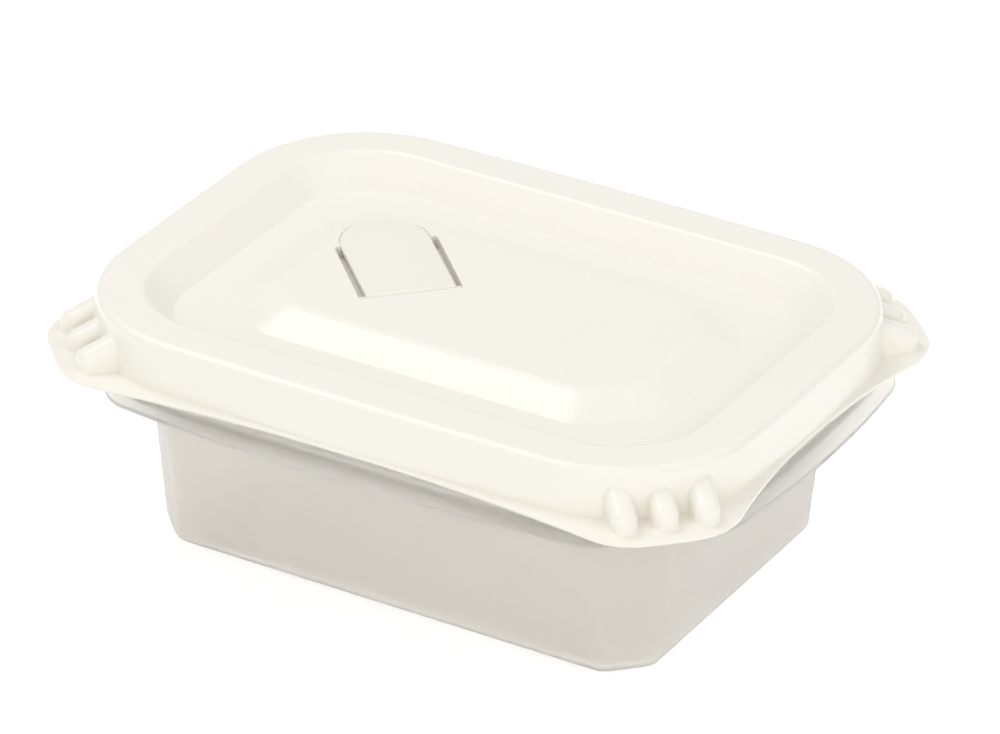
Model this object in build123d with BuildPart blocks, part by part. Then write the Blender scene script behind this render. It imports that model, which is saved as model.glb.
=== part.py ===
from build123d import *
from math import hypot, radians, sqrt, tan
import os

# Rectangular food box: a tub, a deep-rimmed lid, and a vent flap hinged in the lid.
# Millimetres, +Z up. The origin is the middle of the tub's flat base, X runs along
# the long sides and Y along the short sides.

os.makedirs("parts", exist_ok=True)

# Overall height, and the outline of the lid's rim that the other outlines follow
overall_height = 55.0
rim_length = 150.8
rim_width = 108.7

# Corner tabs of the lid's lip, and how far they reach past the rim
tab_reach_x = 6.0
tab_reach_y = 5.35
tab_corner_cut = 16.9
tab_corner_bow = 0.4
tab_corner_round = 13.0

# Tub body
base_length = 117.4
base_width = 80.5
base_cut = 7.6
base_cut_round = 5.0
base_round = 2.5
wall_angle = 8.3
body_top_cut = 15.0
body_top_cut_round = 12.0
tub_wall = 1.1

# Tub flange, and the collar on it that the lid's skirt goes over
flange_reach_x = 4.1
flange_reach_y = 4.35
flange_cut = 20.6
flange_cut_round = 10.0
flange_bow_long = 3.3
flange_bow_short = 2.4
flange_thickness = 1.0
lip_hang = 3.7
flange_edge_round = 0.35
flange_root_round = 1.5
collar_foot_round = 1.5
collar_edge_round = 0.35

# Lid rim and skirt
rim_corner = 31.2
rim_bow_long = 1.5
rim_bow_short = 0.7
rim_round = 1.8
skirt_depth = 11.7
skirt_spread = 0.45
lid_wall = 0.9
lip_margin = 0.4
lip_edge_round = 0.3

# Lid moat and raised platform
crown_width = 10.3
crown_inner_round = 1.2
moat_corner = 20.8
moat_depth = 6.26
moat_slope = 5.65
moat_corner_growth = 4.7
platform_inset_x = 31.85
platform_inset_y = 32.55
platform_cut = 9.0
platform_cut_round = 6.0
platform_foot_cut = 13.0
platform_foot_cut_round = 9.0
platform_rise = 3.66
platform_slope = 7.55
platform_edge = 0.7

# Grip ribs on the corner tabs
rib_count = 3
rib_width = 5.4
rib_pitch = 8.4
rib_margin = 3.6
rib_root = 3.0
rib_drop = 3.8
rib_slope = 25.0
rib_round = 2.2
rib_foot_round = 0.6

# Vent flap, its pocket and its vent hole
flap_width = 18.6
flap_length = 32.9
flap_thickness = 1.2
flap_edge_round = 0.3
flap_turn = 135.0
hinge_inset_x = 27.65
hinge_inset_y = 26.1
barrel_radius = 1.1
stub_radius = 0.6
stub_engagement = 0.8
slot_width = 1.7
slot_reach = 23.0
slot_end_round = 0.8
tip_gap = 0.3
pocket_depth = 2.6
pocket_front_gap = 0.5
bearing_length = 3.6
vent_distance = 19.0
plug_radius = 3.0
plug_length = 2.0
plug_chamfer = 0.3

# Clearances
lid_gap = 0.3
running_gap = 0.05
end_gap = 0.3
plug_gap = 0.3

# Outlines and the flap's place worked out from the sizes above
tab_length = rim_length + 2 * tab_reach_x
tab_width = rim_width + 2 * tab_reach_y
flange_length = rim_length + 2 * flange_reach_x
flange_width = rim_width + 2 * flange_reach_y
platform_length = rim_length - 2 * platform_inset_x
platform_width = rim_width - 2 * platform_inset_y
hinge_x = hinge_inset_x - platform_length / 2
hinge_y = platform_width / 2 - hinge_inset_y

# Levels worked out from the sizes above
lip_level = overall_height - skirt_depth
flange_top = lip_level - lip_hang
flange_level = flange_top - flange_thickness
crown_underside = overall_height - lid_wall
collar_top = crown_underside - lid_gap
moat_level = overall_height - moat_depth
platform_level = moat_level + platform_rise


def round_cornered(length, width, corner, bow_long=0.0, bow_short=0.0):
    """Draw a rectangle with round corners, and bowed sides if asked, in the open sketch."""
    x = length / 2
    y = width / 2
    x_corner = x - bow_short
    y_corner = y - bow_long
    with BuildLine() as edge:
        if bow_long > 0 and bow_short > 0:
            ThreePointArc((-x_corner, -y_corner), (0, -y), (x_corner, -y_corner))
            ThreePointArc((x_corner, -y_corner), (x, 0), (x_corner, y_corner))
            ThreePointArc((x_corner, y_corner), (0, y), (-x_corner, y_corner))
            ThreePointArc((-x_corner, y_corner), (-x, 0), (-x_corner, -y_corner))
        else:
            Polyline((-x, -y), (x, -y), (x, y), (-x, y), close=True)
        fillet(edge.vertices(), corner)
    make_face(edge.edges())


def cut_cornered(length, width, cut, cut_round, bow_long=0.0, bow_short=0.0, cut_bow=0.0):
    """Draw a rectangle with softly cut corners in the open sketch.

    The sides stand out by their bows at mid length, or in where a bow is negative.
    """
    x = length / 2
    y = width / 2
    x_cut = x - cut
    y_cut = y - cut
    x_bow = x - cut / 2 + cut_bow / sqrt(2)
    y_bow = y - cut / 2 + cut_bow / sqrt(2)
    with BuildLine() as edge:
        for side in (1, -1):
            if bow_long:
                start = (-side * x_cut, -side * y)
                ThreePointArc(start, (0, -side * (y + bow_long)), (side * x_cut, -side * y))
            else:
                Line((-side * x_cut, -side * y), (side * x_cut, -side * y))
            if cut_bow:
                middle = (side * x_bow, -side * y_bow)
                ThreePointArc((side * x_cut, -side * y), middle, (side * x, -side * y_cut))
            else:
                Line((side * x_cut, -side * y), (side * x, -side * y_cut))
            if bow_short:
                start = (side * x, -side * y_cut)
                ThreePointArc(start, (side * (x + bow_short), 0), (side * x, side * y_cut))
            else:
                Line((side * x, -side * y_cut), (side * x, side * y_cut))
            if cut_bow:
                middle = (side * x_bow, side * y_bow)
                ThreePointArc((side * x, side * y_cut), middle, (side * x_cut, side * y))
            else:
                Line((side * x, side * y_cut), (side * x_cut, side * y))
        fillet(edge.vertices(), cut_round)
    make_face(edge.edges())


def rim_outline(grow):
    """Draw the lid rim's outline, grown by the given amount on every side."""
    round_cornered(
        rim_length + 2 * grow,
        rim_width + 2 * grow,
        rim_corner + grow,
        rim_bow_long,
        rim_bow_short,
    )


# Tub: a tapered body, a flange round its top and a collar on the flange
taper = tan(radians(wall_angle))
inner_shift = tub_wall * (sqrt(1 + taper**2) - taper)
collar_grow = -lid_wall - lid_gap
cut_share = 2 - sqrt(2)


def tub_body(drop, top, shift):
    """Make the tapered body from its base up to top, raised by -drop and drawn in by shift."""
    growth = 2 * (top + drop) * taper
    length = base_length - 2 * shift
    width = base_width - 2 * shift
    cut_shift = shift * cut_share
    with BuildPart() as body:
        with BuildSketch(Plane.XY.offset(-drop)):
            cut_cornered(length, width, base_cut - cut_shift, base_cut_round - shift)
        with BuildSketch(Plane.XY.offset(top)):
            cut_cornered(
                length + growth,
                width + growth,
                body_top_cut - cut_shift,
                body_top_cut_round - shift,
            )
        loft()
        fillet(body.faces().sort_by(Axis.Z)[0].edges(), base_round - shift)
    return body.part


with BuildPart() as tub:
    with BuildSketch(Plane.XY.offset(flange_level)):
        cut_cornered(
            flange_length - 2 * flange_bow_short,
            flange_width - 2 * flange_bow_long,
            flange_cut,
            flange_cut_round,
            flange_bow_long,
            flange_bow_short,
        )
    extrude(amount=flange_thickness)
    fillet(tub.faces().sort_by(Axis.Z)[0].edges(), flange_edge_round)
    fillet(tub.faces().sort_by(Axis.Z)[-1].edges(), flange_edge_round)
    add(tub_body(0, flange_level, 0))
    flange_under = tub.faces().filter_by(Axis.Z).sort_by(Axis.Z)[1]
    fillet(flange_under.inner_wires()[0].edges(), flange_root_round)
    with BuildSketch(Plane.XY.offset(flange_top)):
        rim_outline(collar_grow)
    extrude(amount=collar_top - flange_top)
    fillet(tub.faces().sort_by(Axis.Z)[-1].edges(), collar_edge_round)
    flange_face = tub.faces().filter_by(Axis.Z).sort_by(Axis.Z)[-2]
    fillet(flange_face.inner_wires()[0].edges(), collar_foot_round)
    add(tub_body(-tub_wall, flange_top, inner_shift), mode=Mode.SUBTRACT)
    with BuildSketch(Plane.XY.offset(flange_top)):
        rim_outline(collar_grow - tub_wall)
    extrude(amount=collar_top - flange_top, mode=Mode.SUBTRACT)

tub.part.label = "tub"
export_step(tub.part, "parts/tub.step")

# Planes of the vent flap: X runs from its hinge edge to its round end
flap_plane = Plane(
    origin=(hinge_x, hinge_y, platform_level),
    x_dir=Vector(1, 0, 0).rotate(Axis.Z, flap_turn),
    z_dir=(0, 0, 1),
)
hinge_plane = Plane(
    origin=flap_plane.from_local_coords((barrel_radius, 0, -barrel_radius)),
    x_dir=flap_plane.x_dir,
    z_dir=flap_plane.y_dir,
)

# Pocket in the platform that the flap lies in, and the walls round it
slot_span = flap_width + 2 * slot_width
socket_span = slot_span + 2 * (stub_engagement + end_gap)
pocket_length = pocket_front_gap + slot_reach
tip_distance = flap_length - flap_width / 2
recess_depth = flap_thickness + tip_gap

with BuildPart() as pocket:
    with BuildSketch(flap_plane.offset(-pocket_depth)) as slots:
        with Locations((-pocket_front_gap, 0)):
            Rectangle(pocket_length, slot_span, align=(Align.MIN, Align.CENTER))
        fillet(slots.vertices().sort_by(Axis.X)[-2:], slot_end_round)
    extrude(amount=pocket_depth + lid_wall)
    with BuildSketch(flap_plane.offset(-recess_depth)):
        with Locations((tip_distance, 0)):
            Circle(flap_width / 2 + tip_gap)
    extrude(amount=recess_depth + lid_wall)
    with BuildSketch(hinge_plane):
        Circle(stub_radius + running_gap)
    extrude(amount=socket_span / 2, both=True)
    with BuildSketch(flap_plane.offset(-pocket_depth)):
        with Locations((vent_distance, 0)):
            Circle(plug_radius + plug_gap)
    extrude(amount=-2 * lid_wall)

with BuildPart() as pocket_walls:
    with BuildSketch(flap_plane.offset(-pocket_depth - lid_wall)):
        with Locations((-pocket_front_gap - lid_wall, 0)):
            Rectangle(
                pocket_length + 2 * lid_wall,
                slot_span + 2 * lid_wall,
                align=(Align.MIN, Align.CENTER),
            )
            Rectangle(
                bearing_length,
                socket_span + 2 * lid_wall,
                align=(Align.MIN, Align.CENTER),
            )
    extrude(amount=pocket_depth + lid_wall)
    with BuildSketch(flap_plane.offset(-recess_depth - lid_wall)):
        with Locations((tip_distance, 0)):
            Circle(flap_width / 2 + tip_gap + lid_wall)
    extrude(amount=recess_depth + lid_wall)

# Lid: a hollow rim, a sunken moat and a raised platform, all one wall thick
moat_length = rim_length - 2 * crown_width
moat_width = rim_width - 2 * crown_width
moat_shift = lid_wall * (hypot(moat_slope, moat_depth) - moat_slope) / moat_depth
platform_shift = lid_wall * (hypot(platform_slope, platform_rise) - platform_slope)
platform_shift = platform_shift / platform_rise


def moat_bowl(drop, shift):
    """Make the space of the moat, lowered by drop and moved out sideways by shift."""
    length = moat_length + 2 * shift
    width = moat_width + 2 * shift
    foot_corner = moat_corner - moat_corner_growth + shift
    with BuildPart() as bowl:
        with BuildSketch(Plane.XY.offset(moat_level - drop)):
            round_cornered(length - 2 * moat_slope, width - 2 * moat_slope, foot_corner)
        with BuildSketch(Plane.XY.offset(overall_height - drop)):
            round_cornered(length, width, moat_corner + shift)
        loft()
    return bowl.part


def platform_block(drop, shift):
    """Make the raised platform, lowered by drop and drawn in sideways by shift."""
    length = platform_length - 2 * shift
    width = platform_width - 2 * shift
    foot_length = length + 2 * platform_slope
    foot_width = width + 2 * platform_slope
    foot_cut = platform_foot_cut - shift * cut_share
    top_cut = platform_cut - shift * cut_share
    with BuildPart() as block:
        with BuildSketch(Plane.XY.offset(moat_level - drop)):
            cut_cornered(foot_length, foot_width, foot_cut, platform_foot_cut_round - shift)
        with BuildSketch(Plane.XY.offset(platform_level - drop)):
            cut_cornered(length, width, top_cut, platform_cut_round - shift)
        loft()
    return block.part


with BuildPart() as platform:
    add(platform_block(0, 0))
    chamfer(platform.faces().sort_by(Axis.Z)[-1].edges(), platform_edge)
    add(pocket.part, mode=Mode.SUBTRACT)

with BuildPart() as platform_hollow:
    add(platform_block(lid_wall, platform_shift))
    add(pocket_walls.part, mode=Mode.SUBTRACT)

with BuildPart() as skirt_hollow:
    with BuildSketch(Plane.XY.offset(lip_level)):
        rim_outline(skirt_spread - lid_wall)
    with BuildSketch(Plane.XY.offset(crown_underside)):
        rim_outline(-lid_wall)
    loft()
    add(moat_bowl(lid_wall, moat_shift), mode=Mode.SUBTRACT)
    add(platform_hollow.part)

# Ribs of one tab run down from the skirt towards the tab's slanted edge
tab_x = tab_length / 2 - tab_corner_cut / 2
tab_y = tab_width / 2 - tab_corner_cut / 2
corner_x = rim_length / 2 - rim_bow_short - rim_corner
corner_y = rim_width / 2 - rim_bow_long - rim_corner
tab_overhang = (tab_x - corner_x + tab_y - corner_y) / sqrt(2) - rim_corner
rib_plane = Plane(
    origin=(
        tab_x - tab_overhang / sqrt(2),
        tab_y - tab_overhang / sqrt(2),
        overall_height - rib_drop,
    ),
    x_dir=(-1, 1, 0),
    z_dir=Vector(0, 0, 1).rotate(Axis((0, 0, 0), (-1, 1, 0)), rib_slope),
)
rib_run = tab_overhang - rib_margin
lip_length = rim_length + 2 * (skirt_spread + lip_margin)
lip_width = rim_width + 2 * (skirt_spread + lip_margin)

with BuildPart() as ribs:
    with BuildSketch(rib_plane):
        with Locations((0, (rib_root - rib_run) / 2)):
            with GridLocations(rib_pitch, rib_width, rib_count, 1):
                SlotOverall(rib_run + rib_root + rib_width / 2, rib_width, rotation=90)
    extrude(amount=skirt_depth, dir=(0, 0, -1))
    fillet(ribs.faces().group_by(Axis.Z)[-1].edges(), rib_round)
    split(bisect_by=Plane.XY.offset(lip_level + lid_wall / 2), keep=Keep.TOP)
    mirror(about=Plane.YZ)
    mirror(about=Plane.XZ)

with BuildPart() as lip:
    with BuildSketch(Plane.XY.offset(lip_level)):
        cut_cornered(
            tab_length,
            tab_width,
            tab_corner_cut,
            tab_corner_round,
            lip_width / 2 - tab_width / 2,
            lip_length / 2 - tab_length / 2,
            tab_corner_bow,
        )
    extrude(amount=lid_wall)
    fillet(lip.faces().filter_by(Axis.Z).edges(), lip_edge_round)

with BuildPart() as lid:
    with BuildSketch(Plane.XY.offset(lip_level)):
        rim_outline(skirt_spread)
    with BuildSketch(Plane.XY.offset(overall_height)):
        rim_outline(0)
    loft()
    fillet(lid.faces().sort_by(Axis.Z)[-1].edges(), rim_round)
    add(moat_bowl(0, 0), mode=Mode.SUBTRACT)
    fillet(lid.faces().sort_by(Axis.Z)[-1].inner_wires()[0].edges(), crown_inner_round)
    add(lip.part)
    add(ribs.part)
    fillet(lid.edges(Select.NEW), rib_foot_round)
    add(platform.part)
    add(skirt_hollow.part, mode=Mode.SUBTRACT)

lid.part.label = "lid"
export_step(lid.part, "parts/lid.step")

# Vent flap: a plate with a round end, on a barrel whose stubs turn in the pocket's walls
flap_body = tip_distance - barrel_radius
flap_axis = Axis(flap_plane.origin, flap_plane.x_dir)
with BuildPart() as vent_flap:
    with BuildSketch(flap_plane.offset(-flap_thickness)):
        with Locations((barrel_radius, 0)):
            Rectangle(flap_body, flap_width, align=(Align.MIN, Align.CENTER))
        with Locations((barrel_radius + flap_body, 0)):
            Circle(flap_width / 2)
    extrude(amount=flap_thickness)
    rim_edges = vent_flap.faces().sort_by(Axis.Z)[-1].edges().sort_by(flap_axis)[1:]
    fillet(rim_edges, flap_edge_round)
    with BuildSketch(hinge_plane):
        Circle(barrel_radius)
    extrude(amount=flap_width / 2, both=True)
    with BuildSketch(hinge_plane):
        Circle(stub_radius)
    extrude(amount=slot_span / 2 + stub_engagement, both=True)
    with BuildSketch(flap_plane.offset(-flap_thickness)):
        with Locations((vent_distance, 0)):
            Circle(plug_radius)
    extrude(amount=-plug_length)
    chamfer(vent_flap.faces().sort_by(Axis.Z)[0].edges(), plug_chamfer)

vent_flap.part.label = "vent_flap"
export_step(vent_flap.part, "parts/vent_flap.step")
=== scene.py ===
"""Looks of a rectangular plastic food box: frosted tub, satin lid and vent flap.

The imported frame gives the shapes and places. This script dresses them, lights them
softly and sets the camera. Lengths are metres unless a name says otherwise.
"""

import logging
import math
from dataclasses import dataclass
from enum import Enum

import bmesh
import bpy
from mathutils import Matrix, Vector


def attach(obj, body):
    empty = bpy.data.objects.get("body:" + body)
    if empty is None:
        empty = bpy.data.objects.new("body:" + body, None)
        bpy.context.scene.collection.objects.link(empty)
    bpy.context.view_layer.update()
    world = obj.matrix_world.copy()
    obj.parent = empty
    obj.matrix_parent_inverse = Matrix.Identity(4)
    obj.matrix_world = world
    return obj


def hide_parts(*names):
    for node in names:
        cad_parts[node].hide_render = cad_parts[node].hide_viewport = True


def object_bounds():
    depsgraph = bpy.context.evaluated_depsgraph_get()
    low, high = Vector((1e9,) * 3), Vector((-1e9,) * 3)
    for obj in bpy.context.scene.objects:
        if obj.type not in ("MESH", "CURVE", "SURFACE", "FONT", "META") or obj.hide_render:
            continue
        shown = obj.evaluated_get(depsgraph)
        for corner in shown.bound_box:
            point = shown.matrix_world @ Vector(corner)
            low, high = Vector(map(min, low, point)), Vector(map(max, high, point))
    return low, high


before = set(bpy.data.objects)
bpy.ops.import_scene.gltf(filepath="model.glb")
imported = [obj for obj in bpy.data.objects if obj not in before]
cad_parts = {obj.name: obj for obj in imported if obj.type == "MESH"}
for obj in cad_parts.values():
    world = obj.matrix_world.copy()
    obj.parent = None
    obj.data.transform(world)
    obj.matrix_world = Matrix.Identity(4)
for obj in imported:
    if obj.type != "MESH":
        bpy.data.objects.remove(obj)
CAD_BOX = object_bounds()
MILLIMETRE = 0.001
HAIR = 0.0001
SHARP_ANGLE_DEG = 35.0
BEVEL_STEPS = 4
# A cylinder's side faces have this many corners, and its ends have more
SIDE_CORNERS = 4
# The places of a colour mix node's inputs, and of its result
MIX_FACTOR, MIX_FIRST, MIX_SECOND = 0, 6, 7
MIX_COLOUR = 2
LOG = logging.getLogger("food_box")


class Body(Enum):
    """The bodies that move apart from one another, each named as its frame node is."""

    TUB = "tub"
    LID = "lid"
    VENT_FLAP = "vent_flap"


class Slot(Enum):
    """A material slot name for the vent flap; nothing in this script uses it."""

    VENT_FLAP = "flap_plastic"


@dataclass(frozen=True)
class Colour:
    """A colour as it is seen on a screen, each part from 0 to 1."""

    red: float
    green: float
    blue: float

    def linear(self) -> tuple[float, float, float, float]:
        """Return the colour as the shader's linear values, with an alpha of 1."""
        knee, slope, offset, power = 0.04045, 12.92, 0.055, 2.4
        light = [
            part / slope if part <= knee else ((part + offset) / (1 + offset)) ** power
            for part in (self.red, self.green, self.blue)
        ]
        return (*light, 1.0)


WHITE = Colour(1.0, 1.0, 1.0)


class SurfaceGrain:
    """The spark-eroded grain and faint mottle of a moulded plastic surface."""

    GRAIN_DETAIL: float = 3.0
    GRAIN_ROUGHNESS: float = 0.6
    MOTTLE_DETAIL: float = 2.0

    def __init__(self) -> None:
        """Build the shader node group once."""
        self.group = bpy.data.node_groups.new("moulded_grain", "ShaderNodeTree")
        face = self.group.interface
        for name in ("Grain Scale", "Mottle Scale"):
            face.new_socket(name=name, in_out="INPUT", socket_type="NodeSocketFloat")
        for name in ("Grain", "Mottle"):
            face.new_socket(name=name, in_out="OUTPUT", socket_type="NodeSocketFloat")
        nodes = self.group.nodes
        link = self.group.links.new
        given = nodes.new("NodeGroupInput")
        put_out = nodes.new("NodeGroupOutput")
        place = nodes.new("ShaderNodeTexCoord")
        fine = nodes.new("ShaderNodeTexNoise")
        fine.inputs["Detail"].default_value = self.GRAIN_DETAIL
        fine.inputs["Roughness"].default_value = self.GRAIN_ROUGHNESS
        broad = nodes.new("ShaderNodeTexNoise")
        broad.inputs["Detail"].default_value = self.MOTTLE_DETAIL
        link(place.outputs["Object"], fine.inputs["Vector"])
        link(place.outputs["Object"], broad.inputs["Vector"])
        link(given.outputs["Grain Scale"], fine.inputs["Scale"])
        link(given.outputs["Mottle Scale"], broad.inputs["Scale"])
        link(fine.outputs["Fac"], put_out.inputs["Grain"])
        link(broad.outputs["Fac"], put_out.inputs["Mottle"])


@dataclass(frozen=True)
class MouldedPlastic:
    """A moulded polypropylene finish: a base colour, a faint mottle and a fine grain.

    The grain and mottle scales are features per metre, as the noise nodes take them.
    A painted light colour, where there is one, takes over close to the flange's height: a
    lighter colour that brightens the shade under the lid's lip.
    """

    name: str
    colour: Colour
    mottle_colour: Colour
    smooth_roughness: float
    rough_roughness: float
    grain_scale: float
    grain_depth: float
    mottle_scale: float
    ior: float = 1.49
    transmission: float = 0.0
    # Painted light: a lighter colour close to the flange's height brightens the shade
    # under the lid's lip.
    flange_painted_light_colour: Colour | None = None
    flange_level: float = 0.0
    painted_light_reach: float = 0.0008
    painted_light_fade_end: float = 0.0025

    def build(self, grain: SurfaceGrain) -> bpy.types.Material:
        """Build the material.

        Args:
            grain: the shared grain and mottle node group.

        Returns:
            The finished material.
        """
        material = bpy.data.materials.new(self.name)
        material.use_nodes = True
        nodes = material.node_tree.nodes
        link = material.node_tree.links.new
        shader = nodes["Principled BSDF"]
        shader.inputs["IOR"].default_value = self.ior
        shader.inputs["Transmission Weight"].default_value = self.transmission
        pattern = nodes.new("ShaderNodeGroup")
        pattern.node_tree = grain.group
        pattern.inputs["Grain Scale"].default_value = self.grain_scale
        pattern.inputs["Mottle Scale"].default_value = self.mottle_scale
        tint = nodes.new("ShaderNodeMix")
        tint.data_type = "RGBA"
        tint.inputs[MIX_FIRST].default_value = self.colour.linear()
        tint.inputs[MIX_SECOND].default_value = self.mottle_colour.linear()
        link(pattern.outputs["Mottle"], tint.inputs[MIX_FACTOR])
        if self.flange_painted_light_colour is None:
            link(tint.outputs[MIX_COLOUR], shader.inputs["Base Color"])
        else:
            # Painted light: mix in the lighter colour close to the flange's height,
            # brightening the shade under the lid's lip.
            painted_light_mix = nodes.new("ShaderNodeMix")
            painted_light_mix.data_type = "RGBA"
            painted_light_mix.inputs[MIX_SECOND].default_value = self.flange_painted_light_colour.linear()
            link(tint.outputs[MIX_COLOUR], painted_light_mix.inputs[MIX_FIRST])
            link(self.flange_painted_light_mask(material).outputs["Result"], painted_light_mix.inputs[MIX_FACTOR])
            link(painted_light_mix.outputs[MIX_COLOUR], shader.inputs["Base Color"])
        rough = nodes.new("ShaderNodeMapRange")
        rough.inputs["To Min"].default_value = self.smooth_roughness
        rough.inputs["To Max"].default_value = self.rough_roughness
        link(pattern.outputs["Mottle"], rough.inputs["Value"])
        link(rough.outputs["Result"], shader.inputs["Roughness"])
        bump = nodes.new("ShaderNodeBump")
        bump.inputs["Strength"].default_value = 1.0
        bump.inputs["Distance"].default_value = self.grain_depth
        link(pattern.outputs["Grain"], bump.inputs["Height"])
        link(bump.outputs["Normal"], shader.inputs["Normal"])
        return material

    def flange_painted_light_mask(self, material: bpy.types.Material) -> bpy.types.Node:
        """Add the painted light's mask, 1 at the flange's height and 0 above and below it.

        Args:
            material: the material that the mask is added to.

        Returns:
            The node whose result is the mask.
        """
        nodes = material.node_tree.nodes
        link = material.node_tree.links.new
        place = nodes.new("ShaderNodeTexCoord")
        parts = nodes.new("ShaderNodeSeparateXYZ")
        away = nodes.new("ShaderNodeMath")
        away.operation = "SUBTRACT"
        away.inputs[1].default_value = self.flange_level
        distance = nodes.new("ShaderNodeMath")
        distance.operation = "ABSOLUTE"
        mask = nodes.new("ShaderNodeMapRange")
        mask.inputs["From Min"].default_value = self.painted_light_reach
        mask.inputs["From Max"].default_value = self.painted_light_fade_end
        mask.inputs["To Min"].default_value = 1.0
        mask.inputs["To Max"].default_value = 0.0
        link(place.outputs["Object"], parts.inputs["Vector"])
        link(parts.outputs["Z"], away.inputs[0])
        link(away.outputs["Value"], distance.inputs[0])
        link(distance.outputs["Value"], mask.inputs["Value"])
        return mask


TUB_FINISH = MouldedPlastic(
    name="frosted_tub_plastic",
    colour=Colour(0.965, 0.955, 0.934),
    mottle_colour=Colour(0.959, 0.948, 0.926),
    smooth_roughness=0.44,
    rough_roughness=0.52,
    # Painted light: lighter close to the flange, to brighten the shade under the lid's
    # lip.
    flange_painted_light_colour=Colour(0.99, 0.984, 0.97),
    flange_level=0.0391,
    grain_scale=1800.0,
    grain_depth=0.00004,
    mottle_scale=60.0,
    transmission=0.8,
)
LID_FINISH = MouldedPlastic(
    name="satin_lid_plastic",
    colour=Colour(0.972, 0.96, 0.923),
    mottle_colour=Colour(0.967, 0.953, 0.915),
    smooth_roughness=0.26,
    rough_roughness=0.32,
    grain_scale=1500.0,
    grain_depth=0.00003,
    mottle_scale=45.0,
)
FLAP_FINISH = MouldedPlastic(
    name="satin_flap_plastic",
    colour=Colour(0.962, 0.949, 0.907),
    mottle_colour=Colour(0.957, 0.942, 0.898),
    smooth_roughness=0.26,
    rough_roughness=0.32,
    grain_scale=1500.0,
    grain_depth=0.00003,
    mottle_scale=45.0,
)


@dataclass(frozen=True)
class Moulding:
    """One moulded piece, kept at its frame shape and given its finish."""

    body: Body
    finish: MouldedPlastic

    def build(self, grain: SurfaceGrain) -> bpy.types.Object:
        """Give the piece its finish.

        Args:
            grain: the shared grain and mottle node group.

        Returns:
            The dressed piece.
        """
        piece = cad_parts[self.body.value]
        material = self.finish.build(grain)
        if not piece.material_slots:
            piece.data.materials.append(material)
        for holder in piece.material_slots:
            holder.material = material
        return piece


MOULDINGS = (Moulding(Body.TUB, TUB_FINISH), Moulding(Body.LID, LID_FINISH))


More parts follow.
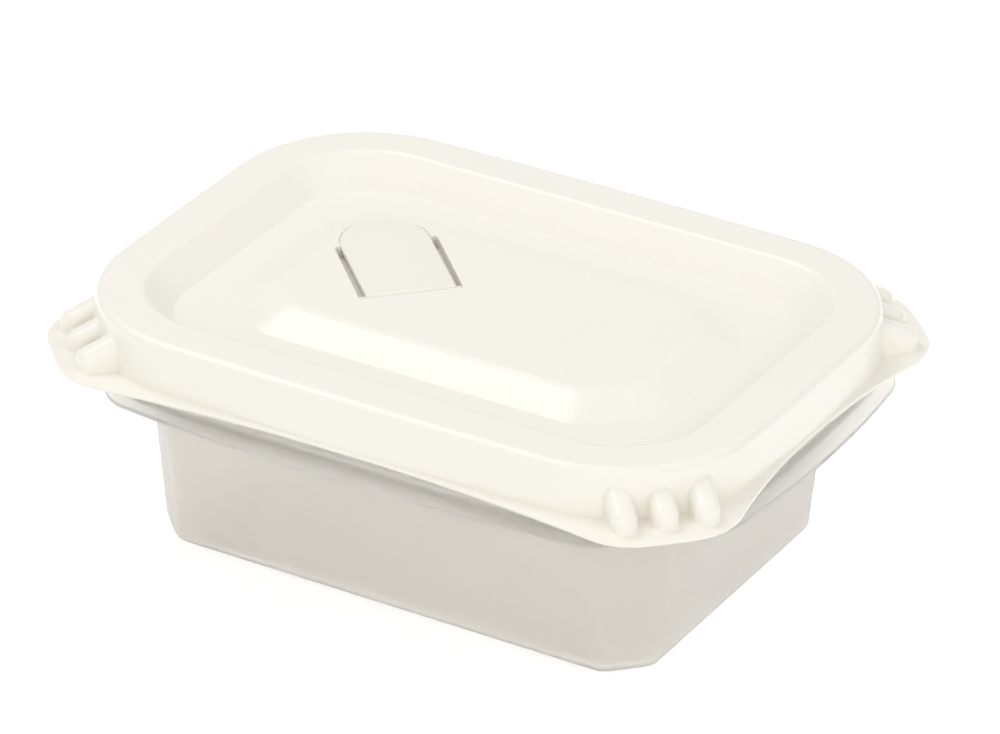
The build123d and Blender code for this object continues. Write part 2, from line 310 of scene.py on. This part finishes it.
@dataclass(frozen=True)
class VentFlap:
    """The vent flap with the soft edges of the moulding.

    Sizes are millimetres. The flap's own X runs from its hinge edge to its round end,
    its Y across it to the near side, and its Z up from the plate's top.
    """

    hinge_edge: tuple[float, float, float] = (-15.9, -4.3, 52.4)
    turn_deg: float = 135.0
    length: float = 32.9
    half_width: float = 9.3
    far_side_growth: float = 0.45
    round_end_growth: float = 0.24
    thickness: float = 1.2
    edge_round: float = 0.3
    barrel_radius: float = 1.1
    barrel_end_round: float = 0.35
    stub_radius: float = 0.6
    stub_reach: float = 11.8
    plug_distance: float = 19.0
    plug_radius: float = 3.0
    plug_length: float = 2.0
    round_steps: int = 64

    def build(self, grain: SurfaceGrain) -> bpy.types.Object:
        """Make the flap, dress it and put it in the frame.

        Args:
            grain: the shared grain and mottle node group.

        Returns:
            The finished flap.
        """
        shape = bmesh.new()
        self.add_plate(shape)
        self.add_barrel(shape)
        self.add_plug(shape)
        turn = Matrix.Rotation(math.radians(self.turn_deg), 4, "Z")
        place = Matrix.Translation(Vector(self.hinge_edge)) @ turn
        to_metres = Matrix.Scale(MILLIMETRE, 4)
        bmesh.ops.transform(shape, matrix=to_metres @ place, verts=shape.verts)
        bmesh.ops.recalc_face_normals(shape, faces=shape.faces)
        for face in shape.faces:
            face.smooth = True
        mesh = bpy.data.meshes.new("soft_vent_flap")
        shape.to_mesh(mesh)
        shape.free()
        mesh.set_sharp_from_angle(angle=math.radians(SHARP_ANGLE_DEG))
        piece = bpy.data.objects.new("soft_vent_flap", mesh)
        bpy.context.scene.collection.objects.link(piece)
        mesh.materials.append(FLAP_FINISH.build(grain))
        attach(piece, Body.VENT_FLAP.value)
        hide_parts("vent_flap")
        return piece

    def add_plate(self, shape: bmesh.types.BMesh) -> None:
        """Add the plate, whose far side and round end lie close to the lid.

        Args:
            shape: the mesh that the plate is added to.
        """
        radius = self.half_width + self.round_end_growth
        middle = self.length - self.half_width
        disc = bmesh.ops.create_circle(
            shape, cap_ends=True, segments=self.round_steps, radius=radius
        )["verts"]
        straight = [vert for vert in disc if vert.co.x < -HAIR]
        bmesh.ops.delete(shape, geom=straight, context="VERTS")
        rim = [vert for vert in shape.verts if vert.is_valid]
        for vert in rim:
            vert.co.x += middle
        ends = [vert for vert in rim if vert.co.x < middle + HAIR]
        near = max(ends, key=lambda vert: vert.co.y)
        far = min(ends, key=lambda vert: vert.co.y)
        hinge_x = self.barrel_radius
        near_hinge = shape.verts.new((hinge_x, self.half_width, 0))
        far_hinge = shape.verts.new((hinge_x, -self.half_width - self.far_side_growth, 0))
        shape.edges.new((near, near_hinge))
        shape.edges.new((near_hinge, far_hinge))
        shape.edges.new((far_hinge, far))
        top = bmesh.ops.contextual_create(shape, geom=shape.edges[:])["faces"]
        body = bmesh.ops.extrude_face_region(shape, geom=top)["geom"]
        lowered = [item for item in body if isinstance(item, bmesh.types.BMVert)]
        bmesh.ops.translate(shape, verts=lowered, vec=(0, 0, -self.thickness))
        edges = [
            edge
            for edge in shape.edges
            if abs(edge.verts[0].co.z - edge.verts[1].co.z) < HAIR
            and max(vert.co.x for vert in edge.verts) > hinge_x + HAIR
        ]
        self.round_edges(shape, edges, self.edge_round)

    def add_barrel(self, shape: bmesh.types.BMesh) -> None:
        """Add the barrel along the hinge edge, and the stubs that it turns on.

        Args:
            shape: the mesh that they are added to.
        """
        centre = Matrix.Translation((self.barrel_radius, 0, -self.barrel_radius))
        across = centre @ Matrix.Rotation(math.radians(90), 4, "X")
        barrel = bmesh.ops.create_cone(
            shape,
            cap_ends=True,
            segments=self.round_steps,
            radius1=self.barrel_radius,
            radius2=self.barrel_radius,
            depth=2 * self.half_width + self.far_side_growth,
            matrix=Matrix.Translation((0, -self.far_side_growth / 2, 0)) @ across,
        )["verts"]
        self.soften_ends(shape, barrel, self.barrel_end_round)
        bmesh.ops.create_cone(
            shape,
            cap_ends=True,
            segments=self.round_steps,
            radius1=self.stub_radius,
            radius2=self.stub_radius,
            depth=2 * self.stub_reach,
            matrix=across,
        )

    def add_plug(self, shape: bmesh.types.BMesh) -> None:
        """Add the plug that closes the vent hole.

        Args:
            shape: the mesh that the plug is added to.
        """
        depth = self.plug_length + self.thickness / 2
        plug = bmesh.ops.create_cone(
            shape,
            cap_ends=True,
            segments=self.round_steps,
            radius1=self.plug_radius,
            radius2=self.plug_radius,
            depth=depth,
            matrix=Matrix.Translation(
                (self.plug_distance, 0, -self.thickness - self.plug_length + depth / 2)
            ),
        )["verts"]
        self.soften_ends(shape, plug, self.edge_round)

    def soften_ends(
        self, shape: bmesh.types.BMesh, verts: list[bmesh.types.BMVert], radius: float
    ) -> None:
        """Round the end edges of a cylinder.

        Args:
            shape: the mesh that holds the cylinder.
            verts: the cylinder's vertices.
            radius: the radius that its end edges get.
        """
        cylinder = set(verts)
        caps = [
            face
            for face in shape.faces
            if len(face.verts) > SIDE_CORNERS and cylinder.issuperset(face.verts)
        ]
        self.round_edges(shape, [edge for cap in caps for edge in cap.edges], radius)

    @staticmethod
    def round_edges(
        shape: bmesh.types.BMesh, edges: list[bmesh.types.BMEdge], radius: float
    ) -> None:
        """Round some edges.

        Args:
            shape: the mesh that holds the edges.
            edges: the edges to round.
            radius: the radius that they get.
        """
        bmesh.ops.bevel(
            shape,
            geom=edges,
            offset=radius,
            segments=BEVEL_STEPS,
            profile=0.5,
            affect="EDGES",
            material=-1,
        )


def direction(azimuth_deg: float, elevation_deg: float) -> Vector:
    """Work out the direction from the object to a lamp or camera.

    Args:
        azimuth_deg: the angle round the object from its front, towards its right.
        elevation_deg: the angle above the floor.

    Returns:
        The direction, one unit long.
    """
    azimuth = math.radians(azimuth_deg)
    elevation = math.radians(elevation_deg)
    return Vector(
        (
            math.sin(azimuth) * math.cos(elevation),
            -math.cos(azimuth) * math.cos(elevation),
            math.sin(elevation),
        )
    )


@dataclass(frozen=True)
class SoftLamp:
    """A square studio lamp, placed by direction and distance. Its power is in watts."""

    name: str
    azimuth_deg: float
    elevation_deg: float
    distance: float
    side: float
    power: float

    def build(self, target: Vector) -> bpy.types.Object:
        """Hang the lamp and turn it to the target.

        Args:
            target: the point that the lamp faces.

        Returns:
            The lamp's object.
        """
        light = bpy.data.lights.new(self.name, "AREA")
        light.shape = "SQUARE"
        light.size = self.side
        light.energy = self.power
        lamp = bpy.data.objects.new(self.name, light)
        bpy.context.scene.collection.objects.link(lamp)
        away = direction(self.azimuth_deg, self.elevation_deg)
        lamp.location = target + away * self.distance
        lamp.rotation_euler = away.to_track_quat("Z", "Y").to_euler()
        return lamp


@dataclass(frozen=True)
class Studio:
    """The white floor, the plain surroundings and the lamps."""

    floor_side: float = 6.0
    floor_drop: float = 0.0002
    room_light: float = 0.68
    background_light: float = 1.0
    floor_colour: Colour = Colour(0.95, 0.95, 0.95)
    floor_roughness: float = 0.9
    floor_glow: float = 0.45
    floor_glow_through: float = 1.0
    lamps: tuple[SoftLamp, ...] = (
        SoftLamp("key_lamp", -92.0, 62.0, 1.2, 0.6, 3.4),
        SoftLamp("front_lamp", 30.0, 20.0, 1.5, 1.4, 5.8),
        SoftLamp("side_lamp", 90.0, 40.0, 1.5, 1.0, 2.2),
    )

    def build(self) -> None:
        """Make the floor, the surroundings and the lamps."""
        self.build_floor()
        self.build_room()
        low, high = CAD_BOX
        middle = (low + high) / 2
        for lamp in self.lamps:
            lamp.build(middle)

    def build_floor(self) -> bpy.types.Object:
        """Make the floor, which shows white and keeps the object's shadow.

        Returns:
            The floor's object.
        """
        mesh = bpy.data.meshes.new("floor")
        shape = bmesh.new()
        bmesh.ops.create_grid(shape, x_segments=1, y_segments=1, size=self.floor_side / 2)
        bmesh.ops.translate(shape, verts=shape.verts, vec=(0, 0, -self.floor_drop))
        shape.to_mesh(mesh)
        shape.free()
        floor = bpy.data.objects.new("floor", mesh)
        bpy.context.scene.collection.objects.link(floor)
        material = bpy.data.materials.new("studio_floor")
        material.use_nodes = True
        shader = material.node_tree.nodes["Principled BSDF"]
        shader.inputs["Base Color"].default_value = self.floor_colour.linear()
        shader.inputs["Roughness"].default_value = self.floor_roughness
        shader.inputs["Specular IOR Level"].default_value = 0.0
        shader.inputs["Emission Color"].default_value = WHITE.linear()
        nodes = material.node_tree.nodes
        link = material.node_tree.links.new
        ray = nodes.new("ShaderNodeLightPath")
        seen = nodes.new("ShaderNodeMath")
        seen.operation = "MULTIPLY"
        seen.inputs[1].default_value = self.floor_glow
        link(ray.outputs["Is Camera Ray"], seen.inputs[0])
        glow = nodes.new("ShaderNodeMath")
        glow.operation = "MULTIPLY_ADD"
        glow.inputs[1].default_value = self.floor_glow_through
        bounced = nodes.new("ShaderNodeMath")
        bounced.operation = "MAXIMUM"
        link(ray.outputs["Is Transmission Ray"], bounced.inputs[0])
        link(ray.outputs["Is Glossy Ray"], bounced.inputs[1])
        link(bounced.outputs["Value"], glow.inputs[0])
        link(seen.outputs["Value"], glow.inputs[2])
        link(glow.outputs["Value"], shader.inputs["Emission Strength"])
        mesh.materials.append(material)
        return floor

    def build_room(self) -> None:
        """Light the object plainly from all round, with white behind it."""
        world = bpy.data.worlds.new("studio")
        bpy.context.scene.world = world
        world.use_nodes = True
        nodes = world.node_tree.nodes
        link = world.node_tree.links.new
        background = nodes["Background"]
        background.inputs["Color"].default_value = WHITE.linear()
        ray = nodes.new("ShaderNodeLightPath")
        strength = nodes.new("ShaderNodeMapRange")
        strength.inputs["To Min"].default_value = self.room_light
        strength.inputs["To Max"].default_value = self.background_light
        shown = nodes.new("ShaderNodeMath")
        shown.operation = "MAXIMUM"
        link(ray.outputs["Is Camera Ray"], shown.inputs[0])
        link(ray.outputs["Is Transmission Ray"], shown.inputs[1])
        link(shown.outputs["Value"], strength.inputs["Value"])
        link(strength.outputs["Result"], background.inputs["Strength"])


@dataclass(frozen=True)
class Viewpoint:
    """The camera's place, found by matching the object's outlines."""

    azimuth_deg: float = 30.931
    elevation_deg: float = 29.029
    roll_deg: float = 0.148
    distance: float = 1.3664
    target: tuple[float, float, float] = (-0.000628, 0.004641, 0.034475)
    lens_mm: float = 237.73
    sensor_mm: float = 36.0
    shift_x: float = 0.0031
    shift_y: float = 0.0020
    nearest: float = 0.01
    farthest: float = 20.0

    def build(self) -> bpy.types.Object:
        """Make the camera and put it in charge.

        Returns:
            The camera's object.
        """
        camera = bpy.data.objects.new("camera", bpy.data.cameras.new("camera"))
        bpy.context.scene.collection.objects.link(camera)
        back = direction(self.azimuth_deg, self.elevation_deg)
        camera.location = Vector(self.target) + back * self.distance
        camera.rotation_mode = "QUATERNION"
        look = (-back).to_track_quat("-Z", "Y").to_matrix()
        roll = Matrix.Rotation(math.radians(self.roll_deg), 3, "Z")
        camera.rotation_quaternion = (look @ roll).to_quaternion()
        camera.data.lens = self.lens_mm
        camera.data.sensor_width = self.sensor_mm
        camera.data.shift_x = self.shift_x
        camera.data.shift_y = self.shift_y
        camera.data.clip_start = self.nearest
        camera.data.clip_end = self.farthest
        bpy.context.scene.camera = camera
        return camera


def main() -> None:
    """Build the camera, the pieces and the studio, and report each piece."""
    logging.basicConfig(level=logging.INFO, format="%(name)s: %(message)s")
    bpy.context.scene.view_settings.view_transform = "Standard"
    Viewpoint().build()
    grain = SurfaceGrain()
    for moulding in MOULDINGS:
        piece = moulding.build(grain)
        LOG.info("%s: %d faces", piece.name, len(piece.data.polygons))
    flap = VentFlap().build(grain)
    LOG.info("%s: %d faces", flap.name, len(flap.data.polygons))
    Studio().build()


if __name__ == "__main__":
    main()
